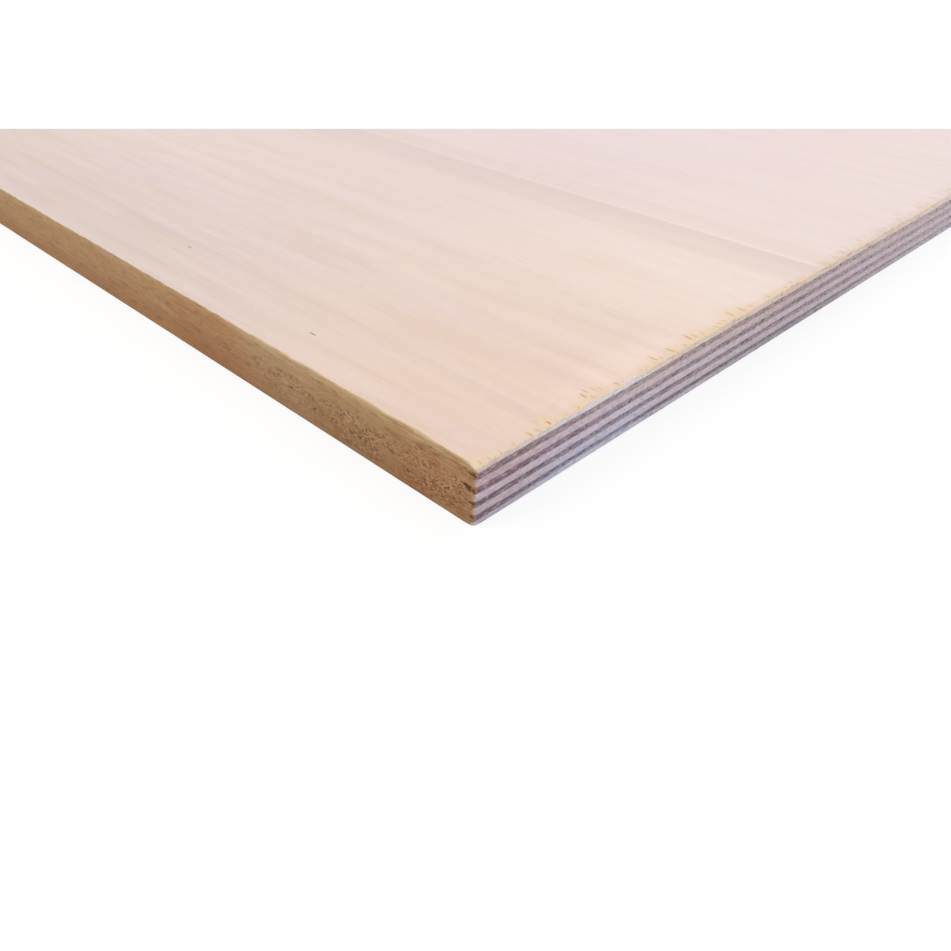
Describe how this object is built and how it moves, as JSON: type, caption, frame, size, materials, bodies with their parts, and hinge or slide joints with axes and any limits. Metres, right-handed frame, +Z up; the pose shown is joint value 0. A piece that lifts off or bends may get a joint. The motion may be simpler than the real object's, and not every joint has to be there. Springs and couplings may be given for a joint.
{
  "type": "plywood sheet",
  "caption": "Flat rectangular plywood sheet with pale face veneers over alternating dark cross veneers and pale long veneers, for building and joinery.",
  "frame": {"origin": "middle of the back, on the surface that the sheet lies on", "axes": "+X along the length and the grain of the faces, +Y across the width, +Z up out of the face"},
  "size_m": [2.44, 1.22, 0.018],
  "materials": {
    "face_veneer": "sanded bare pale pinkish hardwood veneer, straight grain along the sheet",
    "cross_veneer": "sawn edge of a dark mauve-brown cross veneer",
    "long_veneer": "sawn edge of a pale greyish-pink veneer",
    "back_veneer": "sanded bare hardwood veneer, straight grain along the sheet"
  },
  "bodies": {
    "root": {"face_veneer": "face_veneer", "cross_veneer_2": "cross_veneer", "long_veneer_3": "long_veneer", "cross_veneer_4": "cross_veneer", "long_veneer_5": "long_veneer", "cross_veneer_6": "cross_veneer", "long_veneer_7": "long_veneer", "cross_veneer_8": "cross_veneer", "back_veneer": "back_veneer"}
  },
  "joints": []
}
